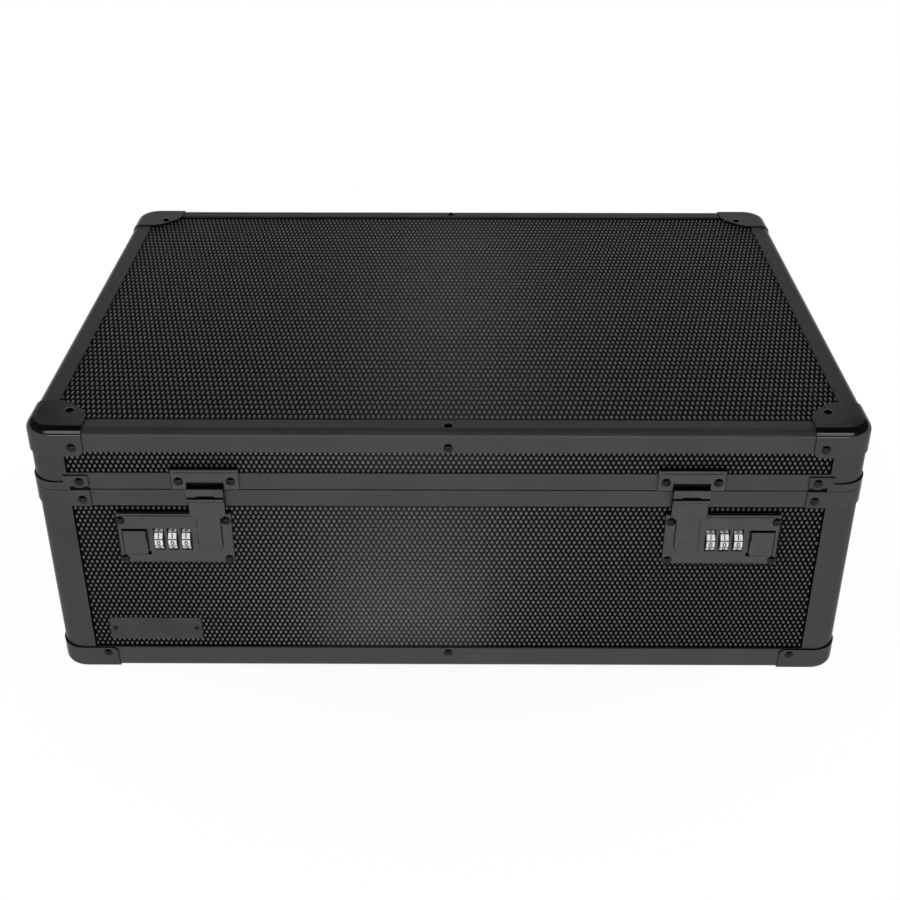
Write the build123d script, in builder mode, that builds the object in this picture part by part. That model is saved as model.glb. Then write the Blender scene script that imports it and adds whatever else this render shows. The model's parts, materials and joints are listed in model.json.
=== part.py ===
from build123d import *
import os
from math import hypot, sqrt

# Lock box: a lockable storage chest in a riveted aluminium frame.
# Millimetres, +Z up. The origin is under the middle of the box, on the surface it
# stands on. The locks face -Y. "Out" is the distance outwards from the outer face
# of the rails, "in" the distance inwards from it.

# Overall size
WIDTH = 482.6
DEPTH = 344.8
HEIGHT = 171.3
LID_HEIGHT = 39.2

# Clearances
PARTING_GAP = 0.3
RUN_GAP = 0.3
FIT = 0.05

# Sheet and board
SKIN = 1.2
BOARD = 4.0
LINING = 1.0
CAP_SHEET = 1.0

# Edge rails
TOP_RAIL_DROP = 14.0
TOP_RAIL_REACH = 13.0
TOP_EDGE_RADIUS = 4.5
BOTTOM_RAIL_RISE = 14.6
BOTTOM_RAIL_REACH = 13.0
BOTTOM_EDGE_RADIUS = 3.0
RIM_RAIL_HEIGHT = 10.9
RIM_LEG_HEIGHT = 7.8
RIM_EDGE_RADIUS = 0.5
LIP_HEIGHT = 3.0
LIP_GAP = 0.5

# Corner posts
POST_RADIUS = 15.0
POST_REACH = 21.8

# Corner caps and brackets
CAP_ARM = 33.5
CAP_SHOULDER = 16.0
CAP_LOBE = 52.5
CAP_LOBE_RADIUS = 6.0
CAP_DROP = 16.4
CAP_CORNER_RADIUS = 4.0
BASE_CAP_ARM = 35.5
BASE_CAP_RISE = 14.6
BRACKET_ARM = 33.8
BRACKET_HEIGHT = 9.4
BRACKET_WAIST = 5.0
BRACKET_HEAD = 14.5
BASE_BRACKET_HEIGHT = 10.9
NOTCH_WIDTH = 11.0
NOTCH_HEIGHT = 2.6
NOTCH_BUMP_RADIUS = 4.2

# Rivets
RIVET_HEAD = 5.6
RIVET_DOME = 1.3
RIVET_SHANK = 3.0
CAP_RIVET_IN = 22.4
CAP_RIVET_BACK = 6.3
BRACKET_RIVET_BACK = 5.2
BRACKET_RIVET_UP = 5.6
BASE_BRACKET_RIVET_BACK = 4.8
BASE_BRACKET_RIVET_DOWN = 6.6
RAIL_RIVET_DOWN = 10.9
RAIL_RIVET_IN = 7.2
BOTTOM_RIVET_UP = 10.8

# Badge plate
BADGE_WIDTH = 56.5
BADGE_HEIGHT = 16.3
BADGE_SHEET = 0.8
BADGE_SIDE = 32.6
BADGE_RISE = 22.0
BADGE_CORNER_RADIUS = 1.5
BADGE_PIN = 2.0
BADGE_PIN_HEAD = 3.0
BADGE_PIN_DOME = 0.5
BADGE_PIN_TAPER = 35.0
BADGE_PIN_INSET = 3.2

# Hinges
HINGE_FROM_SIDE = 101.3
HINGE_WIDTH = 50.0
HINGE_SHEET = 1.5
HINGE_LEAF_HEIGHT = 10.2
HINGE_CORNER_RADIUS = 1.0
HINGE_PIN = 3.0
HINGE_KNUCKLE_RADIUS = 3.2
HINGE_KNUCKLES = 5
HINGE_KNUCKLE_GAP = 0.4
HINGE_RIVET_STEP = 18.0
HINGE_RIVET_BELOW = 7.0
HINGE_CLEAR = 0.4

# Latch line: pivot in the lock plate's ears, link pin on the flap
LATCH_FROM_SIDE = 101.1
LATCH_WIDTH = 21.0
LATCH_MIDDLE = 10.2
LATCH_PIN = 1.8
PIVOT_BELOW_PARTING = 1.7
EAR_RADIUS = 1.6
EAR_SEAT = 0.2
LINK_OUT = 3.0
LINK_DROP = 2.2
LINK_KNUCKLE_RADIUS = 1.7
LINK_SHEET = 1.5
LINK_BEND_RADIUS = 1.4
LINK_SLOT_ABOVE_PIN = 2.5
NOSE_ABOVE_PARTING = 2.2
FLAP_SHEET = 2.0
FLAP_BEVEL = 0.4
FLAP_HEAD_BELOW_PARTING = 5.9
FLAP_HEAD_HEIGHT = 11.7
FLAP_SHOULDER_RADIUS = 3.2
FLAP_TAIL_WIDTH = 14.0
FLAP_TAIL_BELOW_PARTING = 40.9
FLAP_END_RADIUS = 2.5

# Keeper on the lid
KEEPER_WIDTH = 39.3
KEEPER_HEIGHT = 14.2
KEEPER_SHEET = 2.0
KEEPER_BEVEL = 0.6
KEEPER_ABOVE_PARTING = 0.75
KEEPER_BAR = 1.1
KEEPER_WINDOW_HEIGHT = 4.3
KEEPER_RIVET_SPACING = 30.2
KEEPER_RIVET_UP = 6.0
RIM_GROOVE = 0.4
RIM_GROOVE_IN = 2.2

# Lock plate
PLATE_WIDTH = 67.8
PLATE_HEIGHT = 36.0
PLATE_SHEET = 3.0
PLATE_TOP_BELOW_PARTING = 14.9
PLATE_INNER_EDGE = 13.0
PLATE_CORNER_RADIUS = 2.0
PLATE_BEVEL = 1.0
PLATE_RIVET_SPACING_X = 62.0
PLATE_RIVET_SPACING_Z = 27.2
PLATE_RIVET_RISE = 3.2
TONGUE_SHEET = 1.2

# Dials
DIAL_RADIUS = 7.2
DIAL_WIDTH = 5.5
DIAL_HUB_RADIUS = 3.4
DIAL_HUB_WIDTH = 7.8
DIAL_PITCH = 8.1
DIAL_DIGITS = 10
DIAL_GROOVE = 0.8
DIAL_GROOVE_DEPTH = 0.4
DIAL_FROM_LATCH = 22.2
DIAL_BELOW_PLATE_TOP = 19.75
SPINDLE = 3.0
SPINDLE_BEHIND_FACE = 4.5
WINDOW_SKIN = 1.0
WINDOW_BELOW_DIALS = 6.65
WINDOW_ABOVE_DIALS = 8.85

# Slide button, lock bar and return spring
BUTTON_WIDTH = 14.0
BUTTON_HEIGHT = 17.4
BUTTON_CORNER_RADIUS = 1.5
BUTTON_BEVEL = 0.5
BUTTON_FROM_EDGE = 3.0
BUTTON_RISE = 6.4
BUTTON_PROUD = 0.8
BUTTON_TRAVEL = 1.5
POCKET_FLOOR = 1.0
POCKET_TOP_GAP = 0.8
SHANK_WIDTH = 5.8
SHANK_HEIGHT = 6.0
BAR_SHEET = 1.5
BAR_HEIGHT = 3.0
BAR_ABOVE_DIALS = 0.8
BOLT_SHEET = 1.2
BOLT_HEIGHT = 1.7
BOLT_BLOCK = 2.2
BOLT_BITE = 1.2
STAPLE_SHEET = 2.0
STAPLE_WALL = 1.2
STAPLE_DEPTH = 9.2
STAPLE_BELOW_BAR = 2.0
SPRING_RADIUS = 1.8
SPRING_WIRE = 0.6
SPRING_TURNS = 4.5

# Lock case behind the plate
CASE_SHEET = 1.0
CASE_DEPTH = 11.0
CASE_ROOM = 0.1
CASE_BELOW_DIALS = 2.2
CASE_ABOVE_BAR = 0.4
CASE_SIDE = 1.5
CASE_END = 6.4

# Where the box's faces lie
HALF_WIDTH = WIDTH / 2
HALF_DEPTH = DEPTH / 2
HINGE_OFFSET = HALF_WIDTH - HINGE_FROM_SIDE
LATCH_OFFSET = HALF_WIDTH - LATCH_FROM_SIDE
PARTING = HEIGHT - LID_HEIGHT
BASE_TOP = PARTING - PARTING_GAP / 2
LID_BOTTOM = PARTING + PARTING_GAP / 2
BASE_BOTTOM = CAP_SHEET
WALL = SKIN + BOARD
LIP_IN = WALL + SKIN + LIP_GAP

# Where the latches' parts lie
PIVOT_OUT = EAR_RADIUS + EAR_SEAT
PIVOT_Z = PARTING - PIVOT_BELOW_PARTING
LINK_PIN_OUT = PIVOT_OUT + LINK_OUT
LINK_PIN_Z = PIVOT_Z - LINK_DROP
LINK_BACK = PIVOT_OUT + EAR_RADIUS + RUN_GAP
LINK_FRONT = LINK_BACK + LINK_SHEET
NOSE_Z = PARTING + NOSE_ABOVE_PARTING
NOSE_TOP = NOSE_Z + LINK_SHEET
PLATE_BACK = -SKIN
PLATE_FACE = PLATE_BACK + PLATE_SHEET
PLATE_TOP = PARTING - PLATE_TOP_BELOW_PARTING
PLATE_BOTTOM = PLATE_TOP - PLATE_HEIGHT
PLATE_X = LATCH_OFFSET - PLATE_INNER_EDGE + PLATE_WIDTH / 2
PLATE_OUTER_X = PLATE_X + PLATE_WIDTH / 2
FLAP_BACK = PLATE_FACE + RUN_GAP
FLAP_FRONT = FLAP_BACK + FLAP_SHEET
FLAP_HEAD_TOP = PARTING - FLAP_HEAD_BELOW_PARTING
FLAP_HEAD_BOTTOM = FLAP_HEAD_TOP - FLAP_HEAD_HEIGHT
FLAP_BOTTOM = PARTING - FLAP_TAIL_BELOW_PARTING
KEEPER_BOTTOM = PARTING + KEEPER_ABOVE_PARTING
KEEPER_TOP = KEEPER_BOTTOM + KEEPER_HEIGHT

# Where the locks' parts lie
DIAL_X = LATCH_OFFSET + DIAL_FROM_LATCH
DIAL_Z = PLATE_TOP - DIAL_BELOW_PLATE_TOP
DIAL_STACK = 2 * DIAL_PITCH + DIAL_HUB_WIDTH
DIAL_PLACES = (DIAL_X - DIAL_PITCH, DIAL_X, DIAL_X + DIAL_PITCH)
SPINDLE_OUT = PLATE_FACE - SPINDLE_BEHIND_FACE
BUTTON_X = PLATE_OUTER_X - BUTTON_FROM_EDGE - BUTTON_WIDTH / 2
BUTTON_BOTTOM = PLATE_BOTTOM + BUTTON_RISE
BUTTON_TOP = BUTTON_BOTTOM + BUTTON_HEIGHT
POCKET_FACE = PLATE_BACK + POCKET_FLOOR
BAR_BOTTOM = DIAL_Z + DIAL_RADIUS + BAR_ABOVE_DIALS
BAR_TOP = BAR_BOTTOM + BAR_HEIGHT
CASE_BACK = PLATE_BACK - CASE_DEPTH
CASE_OUTER_X = PLATE_OUTER_X - CASE_SIDE
CASE_INNER_X = LATCH_OFFSET - CASE_END
CASE_BOTTOM = DIAL_Z - DIAL_RADIUS - CASE_BELOW_DIALS
CASE_TOP = BAR_TOP + CASE_ABOVE_BAR + CASE_SHEET
BAR_BACK = CASE_BACK + CASE_SHEET + 2 * RUN_GAP
BAR_FACE = BAR_BACK + BAR_SHEET
STAPLE_TIP = FLAP_BACK - STAPLE_DEPTH
STAPLE_BOTTOM = BAR_BOTTOM - STAPLE_BELOW_BAR
STAPLE_REACH = hypot(PIVOT_OUT - STAPLE_TIP, PIVOT_Z - STAPLE_BOTTOM)
BOLT_BACK = STAPLE_TIP + STAPLE_WALL + RUN_GAP
BOLT_FACE = BOLT_BACK + BOLT_SHEET

# The four walls: middle of the outer face, direction inwards, half of the wall's length
WALLS = {
    "front": ((0, -HALF_DEPTH), (0, 1), HALF_WIDTH),
    "back": ((0, HALF_DEPTH), (0, -1), HALF_WIDTH),
    "left": ((-HALF_WIDTH, 0), (1, 0), HALF_DEPTH),
    "right": ((HALF_WIDTH, 0), (-1, 0), HALF_DEPTH),
}

pieces = []


def finish(part, label):
    """Names a finished piece and keeps it for writing."""
    part.label = label
    pieces.append(part)


def finish_pair(part, label):
    """Keeps a piece of the right side and its mirror image on the left."""
    finish(part, f"right_{label}")
    with BuildPart() as left:
        mirror(part, about=Plane.YZ)
    finish(left.part, f"left_{label}")


def wall_section(wall):
    """A plane across a wall: local x runs inwards from its outer face, local y up."""
    (x, y), inward, _ = WALLS[wall]
    x_dir = Vector(*inward)
    return Plane(origin=(x, y, 0), x_dir=x_dir, z_dir=x_dir.cross(Vector(0, 0, 1)))


def wall_face(wall, out):
    """A plane on a wall, seen from outside: local x along the wall, local y up."""
    (x, y), inward, _ = WALLS[wall]
    outward = Vector(*inward) * -1
    return Plane(origin=Vector(x, y) + outward * out, x_dir=Vector(0, 0, 1).cross(outward), z_dir=outward)


def latch_section(x):
    """A plane across the front at x: local x runs outwards, local y up."""
    return Plane(origin=(x, -HALF_DEPTH, 0), x_dir=(0, -1, 0), z_dir=(-1, 0, 0))


def around(middle, width):
    """The range of the given width about a middle."""
    return middle - width / 2, middle + width / 2


def front_block(x_range, z_range, out_range):
    """A block on the front, by its ranges along X, along Z and outwards."""
    with BuildPart() as block:
        with BuildSketch(wall_face("front", out_range[0])):
            with Locations((x_range[0], z_range[0])):
                Rectangle(x_range[1] - x_range[0], z_range[1] - z_range[0], align=Align.MIN)
        extrude(amount=out_range[1] - out_range[0])
    return block.part


# Rivets: groups of seats, each with the height of the face that the heads rest on


def seats_on(wall, places, out):
    """Rivet seats on a wall, by their distance along it and their height."""
    face = wall_face(wall, out)
    return [Plane(face.from_local_coords(place), x_dir=face.x_dir, z_dir=face.z_dir) for place in places]


def both_ways(distance, height):
    """Two places on a wall, at the same distance from its middle."""
    return [(-distance, height), (distance, height)]


def hinge_seats(direction):
    """The hinge leaves' rivet seats: direction is 1 on the lid and -1 on the base."""
    height = PARTING + direction * HINGE_RIVET_BELOW
    places = []
    for step in (-HINGE_RIVET_STEP, 0, HINGE_RIVET_STEP):
        places += both_ways(HINGE_OFFSET + step, height)
    return seats_on("back", places, HINGE_SHEET)


def lid_rivet_groups():
    """The lid's rivets: on caps and brackets, rails, keepers and hinge leaves."""
    pressed = []
    rails = []
    for wall, (_, _, half) in WALLS.items():
        places = both_ways(half - CAP_ARM + CAP_RIVET_BACK, HEIGHT - RAIL_RIVET_DOWN)
        places += both_ways(half - BRACKET_ARM + BRACKET_RIVET_BACK, PARTING + BRACKET_RIVET_UP)
        pressed += seats_on(wall, places, CAP_SHEET)
        rails += seats_on(wall, [(0, HEIGHT - RAIL_RIVET_DOWN)], 0)
    for y_side in (-1, 1):
        rails.append(Plane((0, y_side * (HALF_DEPTH - RAIL_RIVET_IN), HEIGHT)))
        for x_side in (-1, 1):
            x = x_side * (HALF_WIDTH - CAP_RIVET_IN)
            y = y_side * (HALF_DEPTH - CAP_RIVET_IN)
            pressed.append(Plane((x, y, HEIGHT + CAP_SHEET)))
    places = []
    for x in around(LATCH_OFFSET, KEEPER_RIVET_SPACING):
        places += both_ways(x, KEEPER_BOTTOM + KEEPER_RIVET_UP)
    keepers = seats_on("front", places, KEEPER_SHEET)
    return [(CAP_SHEET, pressed), (0, rails), (KEEPER_SHEET, keepers), (HINGE_SHEET, hinge_seats(1))]


def base_rivet_groups():
    """The base's rivets: on caps and brackets, rails, lock plates and hinge leaves."""
    pressed = []
    rails = []
    for wall, (_, _, half) in WALLS.items():
        places = both_ways(half - BASE_CAP_ARM + CAP_RIVET_BACK, BASE_BOTTOM + BOTTOM_RIVET_UP)
        places += both_ways(half - BRACKET_ARM + BASE_BRACKET_RIVET_BACK, PARTING - BASE_BRACKET_RIVET_DOWN)
        pressed += seats_on(wall, places, CAP_SHEET)
        rails += seats_on(wall, [(0, BASE_BOTTOM + BOTTOM_RIVET_UP)], 0)
    places = []
    for x in around(PLATE_X, PLATE_RIVET_SPACING_X):
        places += both_ways(x, PLATE_BOTTOM + PLATE_RIVET_RISE)
        places += both_ways(x, PLATE_BOTTOM + PLATE_RIVET_RISE + PLATE_RIVET_SPACING_Z)
    plates = seats_on("front", places, PLATE_FACE)
    return [(CAP_SHEET, pressed), (0, rails), (PLATE_FACE, plates), (HINGE_SHEET, hinge_seats(-1))]


def rivet(grip):
    """One rivet: a domed head on the origin and a shank as long as the grip."""
    ball = ((RIVET_HEAD / 2) ** 2 + RIVET_DOME**2) / (2 * RIVET_DOME)
    halfway = (RIVET_HEAD / 4, RIVET_DOME - ball + sqrt(ball**2 - (RIVET_HEAD / 4) ** 2))
    with BuildPart() as one:
        with BuildSketch(Plane.XZ):
            with BuildLine():
                ThreePointArc((0, RIVET_DOME), halfway, (RIVET_HEAD / 2, 0))
                Polyline(
                    (RIVET_HEAD / 2, 0),
                    (RIVET_SHANK / 2, 0),
                    (RIVET_SHANK / 2, -grip),
                    (0, -grip),
                    (0, RIVET_DOME),
                )
            make_face()
        revolve(axis=Axis.Z)
    return one.part


def rivets(groups):
    """All rivets of the groups, each long enough for the wall behind it."""
    with BuildPart() as riveting:
        for out, seats in groups:
            one = rivet(out + WALL)
            with Locations(*seats):
                add(one)
    return riveting.part


def rivet_holes(groups):
    """The holes that the rivets of the groups pass through."""
    with BuildPart() as holes:
        for out, seats in groups:
            with Locations(*seats):
                Cylinder(RIVET_SHANK / 2 + FIT, out + WALL, align=(Align.CENTER, Align.CENTER, Align.MAX))
    return holes.part


LID_HOLES = rivet_holes(lid_rivet_groups())
BASE_HOLES = rivet_holes(base_rivet_groups())
finish(rivets(lid_rivet_groups()), "lid_rivets")
finish(rivets(base_rivet_groups()), "base_rivets")


# Boards of the walls, the floor and the top, and the thin linings inside them


def wall_board(wall, z_range):
    """One wall's board, between the corner posts."""
    half = WALLS[wall][2] - POST_RADIUS
    with BuildPart() as board:
        with BuildSketch(wall_face(wall, -WALL)):
            with Locations((-half, z_range[0])):
                Rectangle(2 * half, z_range[1] - z_range[0], align=Align.MIN)
        extrude(amount=BOARD)
    return board.part


def flat_board(inset, z_range):
    """A board across the inside of the walls, with rounded corners."""
    with BuildPart() as board:
        with BuildSketch(Plane.XY.offset(z_range[0])):
            RectangleRounded(
                2 * (HALF_WIDTH - WALL - inset),
                2 * (HALF_DEPTH - WALL - inset),
                POST_RADIUS - WALL - inset,
            )
        extrude(amount=z_range[1] - z_range[0])
    return board.part


with BuildPart() as case_openings:
    opening_x = (CASE_INNER_X - CASE_ROOM, CASE_OUTER_X + CASE_ROOM)
    opening_z = (CASE_BOTTOM - CASE_ROOM, CASE_TOP + CASE_ROOM)
    add(front_block(opening_x, opening_z, (-WALL - LINING, PLATE_BACK)))
    mirror(about=Plane.YZ)

for wall in WALLS:
    with BuildPart() as base_board:
        add(wall_board(wall, (BASE_BOTTOM + WALL, BASE_TOP - SKIN)))
        add(BASE_HOLES, mode=Mode.SUBTRACT)
        add(case_openings.part, mode=Mode.SUBTRACT)
    finish(base_board.part, f"base_{wall}_panel")

    with BuildPart() as lid_board:
        add(wall_board(wall, (LID_BOTTOM + SKIN, HEIGHT - WALL)))
        add(LID_HOLES, mode=Mode.SUBTRACT)
    finish(lid_board.part, f"lid_{wall}_panel")

finish(flat_board(0, (BASE_BOTTOM + SKIN, BASE_BOTTOM + WALL)), "base_floor_panel")

with BuildPart() as top_board:
    add(flat_board(0, (HEIGHT - WALL, HEIGHT - SKIN)))
    add(LID_HOLES, mode=Mode.SUBTRACT)
finish(top_board.part, "lid_top_panel")

with BuildPart() as base_lining:
    add(flat_board(0, (BASE_BOTTOM + WALL, BASE_TOP - RIM_LEG_HEIGHT)))
    add(flat_board(LINING, (BASE_BOTTOM + WALL + LINING, BASE_TOP)), mode=Mode.SUBTRACT)
    add(case_openings.part, mode=Mode.SUBTRACT)
finish(base_lining.part, "base_lining")

with BuildPart() as lid_lining:
    add(flat_board(0, (LID_BOTTOM + RIM_LEG_HEIGHT, HEIGHT - WALL)))
    add(flat_board(LINING, (LID_BOTTOM, HEIGHT - WALL - LINING)), mode=Mode.SUBTRACT)
finish(lid_lining.part, "lid_lining")


# Rails along the edges, cut off at the corner posts


def wall_rails(outline, edge_radius):
    """Four rails round the box from one outline, whose first point is the rounded edge."""
    with BuildPart() as rails:
        for wall, (_, _, half) in WALLS.items():
            with BuildSketch(wall_section(wall)) as section:
                with BuildLine():
                    Polyline(*outline, close=True)
                make_face()
                fillet(section.vertices().sort_by_distance(outline[0])[0], edge_radius)
            extrude(amount=half - POST_REACH, both=True)
    return rails.part


def angle_outline(height, direction, reach, leg):
    """An angle rail, thick at its corner: direction is 1 for a leg that rises, -1 for one that drops."""
    return [
        (0, height),
        (reach, height),
        (reach, height + direction * SKIN),
        (WALL, height + direction * SKIN),
        (WALL, height + direction * WALL),
        (SKIN, height + direction * WALL),
        (SKIN, height + direction * leg),
        (0, height + direction * leg),
    ]


BASE_RIM_OUTLINE = [
    (0, BASE_TOP),
    (0, BASE_TOP - RIM_RAIL_HEIGHT),
    (SKIN, BASE_TOP - RIM_RAIL_HEIGHT),
    (SKIN, BASE_TOP - SKIN),
    (WALL, BASE_TOP - SKIN),
    (WALL, BASE_TOP - RIM_LEG_HEIGHT),
    (WALL + SKIN, BASE_TOP - RIM_LEG_HEIGHT),
    (WALL + SKIN, BASE_TOP - SKIN),
    (LIP_IN + SKIN, BASE_TOP - SKIN),
    (LIP_IN + SKIN, BASE_TOP + LIP_HEIGHT),
    (LIP_IN, BASE_TOP + LIP_HEIGHT),
    (LIP_IN, BASE_TOP),
]

LID_RIM_OUTLINE = [
    (0, LID_BOTTOM),
    (WALL + SKIN, LID_BOTTOM),
    (WALL + SKIN, LID_BOTTOM + RIM_LEG_HEIGHT),
    (WALL, LID_BOTTOM + RIM_LEG_HEIGHT),
    (WALL, LID_BOTTOM + SKIN),
    (SKIN, LID_BOTTOM + SKIN),
    (SKIN, LID_BOTTOM + RIM_RAIL_HEIGHT),
    (0, LID_BOTTOM + RIM_RAIL_HEIGHT),
]

with BuildPart() as bottom_rails:
    add(wall_rails(angle_outline(BASE_BOTTOM, 1, BOTTOM_RAIL_REACH, BOTTOM_RAIL_RISE), BOTTOM_EDGE_RADIUS))
    add(BASE_HOLES, mode=Mode.SUBTRACT)
finish(bottom_rails.part, "base_bottom_rails")

with BuildPart() as top_rails:
    add(wall_rails(angle_outline(HEIGHT, -1, TOP_RAIL_REACH, TOP_RAIL_DROP), TOP_EDGE_RADIUS))
    add(LID_HOLES, mode=Mode.SUBTRACT)
finish(top_rails.part, "lid_top_rails")

with BuildPart() as base_rim_rails:
    add(wall_rails(BASE_RIM_OUTLINE, RIM_EDGE_RADIUS))
    add(BASE_HOLES, mode=Mode.SUBTRACT)
finish(base_rim_rails.part, "base_rim_rails")

with BuildPart() as lid_rim_rails:
    add(wall_rails(LID_RIM_OUTLINE, RIM_EDGE_RADIUS))
    add(LID_HOLES, mode=Mode.SUBTRACT)
    for wall, (_, _, half) in WALLS.items():
        with BuildSketch(wall_face(wall, -SKIN)):
            with Locations(*both_ways(half - BRACKET_ARM + NOTCH_WIDTH / 2, LID_BOTTOM)):
                Rectangle(NOTCH_WIDTH, NOTCH_HEIGHT, align=(Align.CENTER, Align.MIN))
        extrude(amount=SKIN, mode=Mode.SUBTRACT)
finish(lid_rim_rails.part, "lid_rim_rails")


# Corner posts: hollow rounded extrusions with a flange over each board


def corner_posts(z_range):
    """Four posts between two heights."""
    x = HALF_WIDTH - POST_RADIUS
    y = HALF_DEPTH - POST_RADIUS
    with BuildPart() as posts:
        with BuildSketch(Plane.XY.offset(z_range[0])):
            with Locations((x, y)):
                Circle(POST_RADIUS)
                Circle(POST_RADIUS - WALL, mode=Mode.SUBTRACT)
                Rectangle(POST_RADIUS, POST_RADIUS, align=Align.MIN, mode=Mode.INTERSECT)
            with Locations((HALF_WIDTH - POST_REACH, HALF_DEPTH)):
                Rectangle(POST_REACH - POST_RADIUS, SKIN, align=(Align.MIN, Align.MAX))
            with Locations((HALF_WIDTH, HALF_DEPTH - POST_REACH)):
                Rectangle(SKIN, POST_REACH - POST_RADIUS, align=(Align.MAX, Align.MIN))
        extrude(amount=z_range[1] - z_range[0])
        with BuildSketch(Plane.XY.offset(z_range[0])):
            with Locations((x, y)):
                Circle(POST_RADIUS - SKIN)
                Circle(POST_RADIUS - WALL + SKIN, mode=Mode.SUBTRACT)
            with Locations((x + SKIN, y + SKIN)):
                Rectangle(POST_RADIUS, POST_RADIUS, align=Align.MIN, mode=Mode.INTERSECT)
        extrude(amount=z_range[1] - z_range[0], mode=Mode.SUBTRACT)
        mirror(about=Plane.YZ)
        mirror(about=Plane.XZ)
    return posts.part


finish(corner_posts((BASE_BOTTOM + WALL, BASE_TOP)), "base_corner_posts")
finish(corner_posts((LID_BOTTOM, HEIGHT - WALL)), "lid_corner_posts")


# Corner caps and brackets: pressed sheet round a corner


def corner_block(arm, grow, z_range):
    """One solid corner of the box, grown outwards, with its upright edge rounded."""
    x = HALF_WIDTH + grow
    y = HALF_DEPTH + grow
    with BuildPart() as block:
        with BuildSketch(Plane.XY.offset(z_range[0])) as plan:
            with Locations((x, y)):
                Rectangle(arm + grow, arm + grow, align=Align.MAX)
            fillet(plan.vertices().sort_by_distance((x, y))[0], POST_RADIUS + grow)
        extrude(amount=z_range[1] - z_range[0])
    return block.part


def rounded_corner(grow, drop, edge_radius):
    """A solid corner with its top edges rounded too, its faces meeting at height 0 before it grows."""
    with BuildPart() as corner:
        add(corner_block(CAP_LOBE, grow, (-drop, grow)))
        rim = corner.faces().sort_by(Axis.Z)[-1].edges()
        outer = rim.filter_by(
            lambda edge: edge.center().X > HALF_WIDTH - POST_RADIUS
            or edge.center().Y > HALF_DEPTH - POST_RADIUS
        )
        fillet(outer, edge_radius + grow)
    return corner.part


def corner_cap(arm, drop, edge_radius):
    """One cap: two arms along the edges, a lobe over the board between them, and sides that drop."""
    x = HALF_WIDTH
    y = HALF_DEPTH
    tip = CAP_LOBE - CAP_RIVET_IN
    with BuildPart() as cap:
        add(rounded_corner(CAP_SHEET, drop, edge_radius))
        add(rounded_corner(0, drop, edge_radius), mode=Mode.SUBTRACT)
        with BuildSketch(Plane.XY.offset(CAP_SHEET)) as plan:
            with BuildLine():
                Polyline(
                    (x + CAP_SHEET, y + CAP_SHEET),
                    (x - arm, y + CAP_SHEET),
                    (x - arm, y - CAP_SHOULDER),
                    (x - tip, y - CAP_RIVET_IN),
                    (x - CAP_RIVET_IN, y - tip),
                    (x - CAP_SHOULDER, y - arm),
                    (x + CAP_SHEET, y - arm),
                    close=True,
                )
            make_face()
            fillet(plan.vertices().filter_by(lambda point: point.X < x and point.Y < y), CAP_LOBE_RADIUS)
        extrude(amount=-drop - CAP_SHEET, mode=Mode.INTERSECT)
        ends = cap.edges().filter_by(lambda edge: abs(edge.length - CAP_SHEET) < FIT)
        fillet(ends.group_by(Axis.Z)[0], CAP_CORNER_RADIUS)
    return cap.part


top_cap = corner_cap(CAP_ARM, CAP_DROP, TOP_EDGE_RADIUS)
bottom_cap = corner_cap(BASE_CAP_ARM, BASE_CAP_RISE, BOTTOM_EDGE_RADIUS)

with BuildPart() as lid_caps:
    with Locations((0, 0, HEIGHT)):
        add(top_cap)
    mirror(about=Plane.YZ)
    mirror(about=Plane.XZ)
    add(LID_HOLES, mode=Mode.SUBTRACT)
finish(lid_caps.part, "lid_corner_caps")

with BuildPart() as base_caps:
    with Locations(Plane((0, 0, BASE_BOTTOM), x_dir=(1, 0, 0), z_dir=(0, 0, -1))):
        add(bottom_cap)
    mirror(about=Plane.YZ)
    mirror(about=Plane.XZ)
    add(BASE_HOLES, mode=Mode.SUBTRACT)
finish(base_caps.part, "base_corner_caps")

with BuildPart() as lid_brackets:
    bracket_z = (LID_BOTTOM, LID_BOTTOM + BRACKET_HEIGHT)
    add(corner_block(BRACKET_ARM, CAP_SHEET, bracket_z))
    add(corner_block(BRACKET_ARM, 0, bracket_z), mode=Mode.SUBTRACT)
    with BuildSketch(Plane.XY.offset(LID_BOTTOM + BRACKET_WAIST)):
        with Locations((HALF_WIDTH + 2 * CAP_SHEET, HALF_DEPTH + 2 * CAP_SHEET)):
            waist = BRACKET_ARM - BRACKET_HEAD + 2 * CAP_SHEET
            Rectangle(waist, waist, align=Align.MAX)
    extrude(amount=BRACKET_HEIGHT, mode=Mode.SUBTRACT)
    for wall in ("back", "right"):
        arm_end = WALLS[wall][2] - BRACKET_ARM
        with BuildSketch(wall_face(wall, 0)):
            with Locations(*both_ways(arm_end + NOTCH_WIDTH / 2, LID_BOTTOM)):
                Rectangle(NOTCH_WIDTH, NOTCH_HEIGHT, align=(Align.CENTER, Align.MIN))
            with Locations(*both_ways(arm_end + BRACKET_RIVET_BACK, PARTING + BRACKET_RIVET_UP)):
                Circle(NOTCH_BUMP_RADIUS, mode=Mode.SUBTRACT)
        extrude(amount=CAP_SHEET, mode=Mode.SUBTRACT)
    mirror(about=Plane.YZ)
    mirror(about=Plane.XZ)
    add(LID_HOLES, mode=Mode.SUBTRACT)
finish(lid_brackets.part, "lid_corner_brackets")

with BuildPart() as base_brackets:
    bracket_z = (BASE_TOP - BASE_BRACKET_HEIGHT, BASE_TOP)
    add(corner_block(BRACKET_ARM, CAP_SHEET, bracket_z))
    add(corner_block(BRACKET_ARM, 0, bracket_z), mode=Mode.SUBTRACT)
    mirror(about=Plane.YZ)
    mirror(about=Plane.XZ)
    add(BASE_HOLES, mode=Mode.SUBTRACT)
finish(base_brackets.part, "base_corner_brackets")


# Blank badge plate with its two pins

BADGE_X = -HALF_WIDTH + BADGE_SIDE + BADGE_WIDTH / 2
BADGE_Z = BADGE_RISE + BADGE_HEIGHT / 2
BADGE_PINS = [(x, BADGE_Z) for x in around(BADGE_X, BADGE_WIDTH - 2 * BADGE_PIN_INSET)]

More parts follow.
